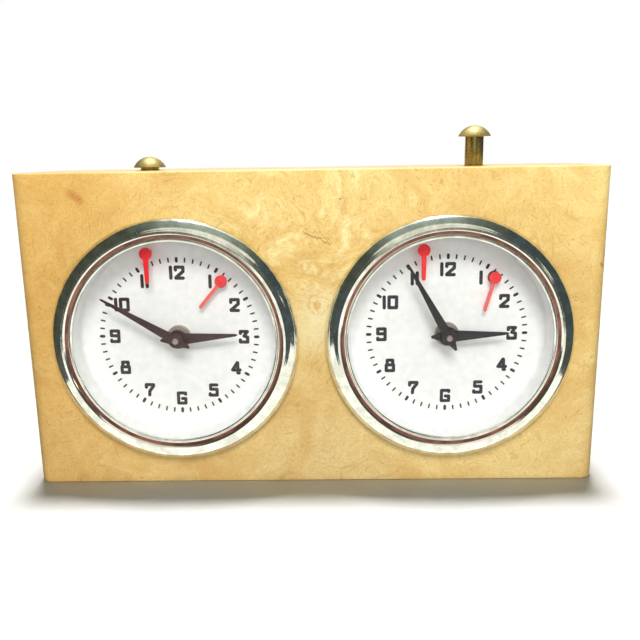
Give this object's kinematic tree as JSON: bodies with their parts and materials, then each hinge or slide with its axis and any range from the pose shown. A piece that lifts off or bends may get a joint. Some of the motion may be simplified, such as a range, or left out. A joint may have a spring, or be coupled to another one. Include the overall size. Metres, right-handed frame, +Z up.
{
  "type": "chess clock",
  "caption": "Mechanical chess clock: wooden case, paired spring-driven clocks with chrome bezels, and see-saw plungers that stop one clock and free the other.",
  "frame": {"origin": "middle of the case's base, on the face it stands on", "axes": "+Z up; -Y is the way the dials face; +X is to the right when looking at the dials"},
  "size_m": [0.2, 0.0708, 0.1241],
  "materials": {
    "veneer": "light burl veneer, satin lacquer",
    "raw_wood": "bare softwood",
    "brass": "worn, lightly tarnished",
    "plate_brass": "stamped, lightly brushed",
    "steel": "bright",
    "blued_steel": "blued",
    "dark_steel": "dull grey",
    "chrome": "polished plating",
    "crystal": "clear",
    "dial_white": "white enamel with black printing",
    "hand_black": "satin black",
    "flag_red": "satin red",
    "indicator_red": "satin red"
  },
  "bodies": {
    "case": {"front_panel": "veneer", "top_board": "veneer", "bottom_board": "veneer", "side_boards": "veneer", "corner_blocks": "raw_wood", "back_panel": "veneer", "back_panel_screws": "steel", "plunger_bushes": "brass", "rocker_bracket": "steel", "mounting_rings": "steel", "front_plates": "plate_brass", "back_plates": "plate_brass", "pillars": "steel", "hairsprings": "blued_steel", "dial_washers": "dark_steel", "bezel_left": "chrome", "crystal_left": "crystal", "dial_left": "dial_white", "bezel_right": "chrome", "crystal_right": "crystal", "dial_right": "dial_white"},
    "plunger_left": {"plunger_left": "brass"},
    "plunger_right": {"plunger_right": "brass"},
    "rocker": {"rocker": "steel"},
    "minute_arbor_left": {"centre_arbor_left": "steel", "minute_hand_left": "hand_black", "set_knob_left": "brass"},
    "hour_pipe_left": {"hour_wheel_left": "plate_brass", "hour_hand_left": "hand_black"},
    "minute_wheel_left": {"minute_wheel_left": "plate_brass"},
    "centre_wheel_left": {"centre_wheel_left": "plate_brass"},
    "third_wheel_left": {"third_wheel_left": "plate_brass"},
    "fourth_wheel_left": {"fourth_wheel_left": "plate_brass"},
    "escape_wheel_left": {"escape_wheel_left": "plate_brass"},
    "pallet_lever_left": {"pallet_lever_left": "steel"},
    "balance_wheel_left": {"balance_wheel_left": "plate_brass"},
    "barrel_left": {"barrel_left": "plate_brass"},
    "regulator_left": {"regulator_left": "brass"},
    "flag_left": {"flag_left": "flag_red"},
    "running_indicator_left": {"running_indicator_left": "indicator_red"},
    "winding_left": {"winding_arbor_left": "steel", "winding_key_left": "brass"},
    "minute_arbor_right": {"centre_arbor_right": "steel", "minute_hand_right": "hand_black", "set_knob_right": "brass"},
    "hour_pipe_right": {"hour_wheel_right": "plate_brass", "hour_hand_right": "hand_black"},
    "minute_wheel_right": {"minute_wheel_right": "plate_brass"},
    "centre_wheel_right": {"centre_wheel_right": "plate_brass"},
    "third_wheel_right": {"third_wheel_right": "plate_brass"},
    "fourth_wheel_right": {"fourth_wheel_right": "plate_brass"},
    "escape_wheel_right": {"escape_wheel_right": "plate_brass"},
    "pallet_lever_right": {"pallet_lever_right": "steel"},
    "balance_wheel_right": {"balance_wheel_right": "plate_brass"},
    "barrel_right": {"barrel_right": "plate_brass"},
    "regulator_right": {"regulator_right": "brass"},
    "flag_right": {"flag_right": "flag_red"},
    "running_indicator_right": {"running_indicator_right": "indicator_red"},
    "winding_right": {"winding_arbor_right": "steel", "winding_key_right": "brass"}
  },
  "joints": [
    {"name": "plunger_left_press", "type": "slide", "parent": "case", "child": "plunger_left", "axis": [0, 0, 1], "range_m": [0, 0.0093]},
    {"name": "plunger_right_press", "type": "slide", "parent": "case", "child": "plunger_right", "axis": [0, 0, 1], "range_m": [-0.0093, 0]},
    {"name": "rocker_tip", "type": "hinge", "parent": "case", "child": "rocker", "pos_m": [0, 0, 0.0963], "axis": [0, 1, 0], "range_deg": [0, 9.03]},
    {"name": "minute_turn_left", "type": "hinge", "parent": "case", "child": "minute_arbor_left", "pos_m": [-0.0472, 0, 0.0525], "axis": [0, 1, 0], "continuous": true},
    {"name": "minute_wheel_turn_left", "type": "hinge", "parent": "case", "child": "minute_wheel_left", "pos_m": [-0.0472, 0, 0.0429], "axis": [0, 1, 0], "continuous": true},
    {"name": "hour_turn_left", "type": "hinge", "parent": "case", "child": "hour_pipe_left", "pos_m": [-0.0472, 0, 0.0525], "axis": [0, 1, 0], "continuous": true},
    {"name": "fourth_wheel_turn_left", "type": "hinge", "parent": "case", "child": "fourth_wheel_left", "pos_m": [-0.05372, 0, 0.07001], "axis": [0, 1, 0], "continuous": true},
    {"name": "escape_wheel_turn_left", "type": "hinge", "parent": "case", "child": "escape_wheel_left", "pos_m": [-0.04397, 0, 0.06829], "axis": [0, 1, 0], "continuous": true},
    {"name": "third_wheel_turn_left", "type": "hinge", "parent": "case", "child": "third_wheel_left", "pos_m": [-0.05967, 0, 0.0597], "axis": [0, 1, 0], "continuous": true},
    {"name": "centre_wheel_turn_left", "type": "hinge", "parent": "case", "child": "centre_wheel_left", "pos_m": [-0.0472, 0, 0.0525], "axis": [0, 1, 0], "continuous": true},
    {"name": "barrel_turn_left", "type": "hinge", "parent": "case", "child": "barrel_left", "pos_m": [-0.0472, 0, 0.0336], "axis": [0, 1, 0], "continuous": true},
    {"name": "pallet_swing_left", "type": "hinge", "parent": "case", "child": "pallet_lever_left", "pos_m": [-0.03726, 0, 0.06516], "axis": [0, 1, 0], "range_deg": [0, 10]},
    {"name": "indicator_swing_left", "type": "hinge", "parent": "case", "child": "running_indicator_left", "pos_m": [-0.0313, 0, 0.0725], "axis": [0, 1, 0], "range_deg": [-24, 0]},
    {"name": "balance_swing_left", "type": "hinge", "parent": "case", "child": "balance_wheel_left", "pos_m": [-0.03022, 0, 0.06023], "axis": [0, 1, 0], "range_deg": [-135, 135], "stiffness_Nm_per_rad": 0.0000075},
    {"name": "regulator_shift_left", "type": "hinge", "parent": "case", "child": "regulator_left", "pos_m": [-0.03022, 0, 0.06023], "axis": [0, 1, 0], "range_deg": [-22, 22]},
    {"name": "winding_left", "type": "hinge", "parent": "case", "child": "winding_left", "pos_m": [-0.0472, 0, 0.0336], "axis": [0, -1, 0], "range_deg": [0, 1530]},
    {"name": "flag_lift_left", "type": "hinge", "parent": "case", "child": "flag_left", "pos_m": [-0.05615, 0, 0.0827], "axis": [0, -1, 0], "range_deg": [0, 90]},
    {"name": "minute_turn_right", "type": "hinge", "parent": "case", "child": "minute_arbor_right", "pos_m": [0.0472, 0, 0.0525], "axis": [0, 1, 0], "continuous": true},
    {"name": "minute_wheel_turn_right", "type": "hinge", "parent": "case", "child": "minute_wheel_right", "pos_m": [0.0472, 0, 0.0429], "axis": [0, 1, 0], "continuous": true},
    {"name": "hour_turn_right", "type": "hinge", "parent": "case", "child": "hour_pipe_right", "pos_m": [0.0472, 0, 0.0525], "axis": [0, 1, 0], "continuous": true},
    {"name": "fourth_wheel_turn_right", "type": "hinge", "parent": "case", "child": "fourth_wheel_right", "pos_m": [0.04068, 0, 0.07001], "axis": [0, 1, 0], "continuous": true},
    {"name": "escape_wheel_turn_right", "type": "hinge", "parent": "case", "child": "escape_wheel_right", "pos_m": [0.05043, 0, 0.06829], "axis": [0, 1, 0], "continuous": true},
    {"name": "third_wheel_turn_right", "type": "hinge", "parent": "case", "child": "third_wheel_right", "pos_m": [0.03473, 0, 0.0597], "axis": [0, 1, 0], "continuous": true},
    {"name": "centre_wheel_turn_right", "type": "hinge", "parent": "case", "child": "centre_wheel_right", "pos_m": [0.0472, 0, 0.0525], "axis": [0, 1, 0], "continuous": true},
    {"name": "barrel_turn_right", "type": "hinge", "parent": "case", "child": "barrel_right", "pos_m": [0.0472, 0, 0.0336], "axis": [0, 1, 0], "continuous": true},
    {"name": "pallet_swing_right", "type": "hinge", "parent": "case", "child": "pallet_lever_right", "pos_m": [0.05714, 0, 0.06516], "axis": [0, 1, 0], "range_deg": [-10, 0]},
    {"name": "indicator_swing_right", "type": "hinge", "parent": "case", "child": "running_indicator_right", "pos_m": [0.0631, 0, 0.0725], "axis": [0, 1, 0], "range_deg": [0, 24]},
    {"name": "balance_swing_right", "type": "hinge", "parent": "case", "child": "balance_wheel_right", "pos_m": [0.06418, 0, 0.06023], "axis": [0, 1, 0], "range_deg": [-135, 135], "stiffness_Nm_per_rad": 0.0000075},
    {"name": "regulator_shift_right", "type": "hinge", "parent": "case", "child": "regulator_right", "pos_m": [0.06418, 0, 0.06023], "axis": [0, 1, 0], "range_deg": [-22, 22]},
    {"name": "winding_right", "type": "hinge", "parent": "case", "child": "winding_right", "pos_m": [0.0472, 0, 0.0336], "axis": [0, -1, 0], "range_deg": [0, 1530]},
    {"name": "flag_lift_right", "type": "hinge", "parent": "case", "child": "flag_right", "pos_m": [0.03825, 0, 0.0827], "axis": [0, -1, 0], "range_deg": [0, 90]}
  ],
  "couplings": [
    {"joint": "plunger_right_press", "follows": "plunger_left_press", "ratio": -1},
    {"joint": "rocker_tip", "follows": "plunger_left_press", "rad_per_m": 16.914},
    {"joint": "minute_wheel_turn_left", "follows": "minute_turn_left", "ratio": -0.33333},
    {"joint": "hour_turn_left", "follows": "minute_turn_left", "ratio": 0.083333},
    {"joint": "escape_wheel_turn_left", "follows": "fourth_wheel_turn_left", "ratio": -10},
    {"joint": "third_wheel_turn_left", "follows": "fourth_wheel_turn_left", "ratio": -0.13333},
    {"joint": "centre_wheel_turn_left", "follows": "fourth_wheel_turn_left", "ratio": 0.016667},
    {"joint": "barrel_turn_left", "follows": "fourth_wheel_turn_left", "ratio": -0.0027778},
    {"joint": "indicator_swing_left", "follows": "pallet_swing_left", "ratio": -2.4},
    {"joint": "minute_wheel_turn_right", "follows": "minute_turn_right", "ratio": -0.33333},
    {"joint": "hour_turn_right", "follows": "minute_turn_right", "ratio": 0.083333},
    {"joint": "escape_wheel_turn_right", "follows": "fourth_wheel_turn_right", "ratio": -10},
    {"joint": "third_wheel_turn_right", "follows": "fourth_wheel_turn_right", "ratio": -0.13333},
    {"joint": "centre_wheel_turn_right", "follows": "fourth_wheel_turn_right", "ratio": 0.016667},
    {"joint": "barrel_turn_right", "follows": "fourth_wheel_turn_right", "ratio": -0.0027778},
    {"joint": "indicator_swing_right", "follows": "pallet_swing_right", "ratio": -2.4}
  ]
}
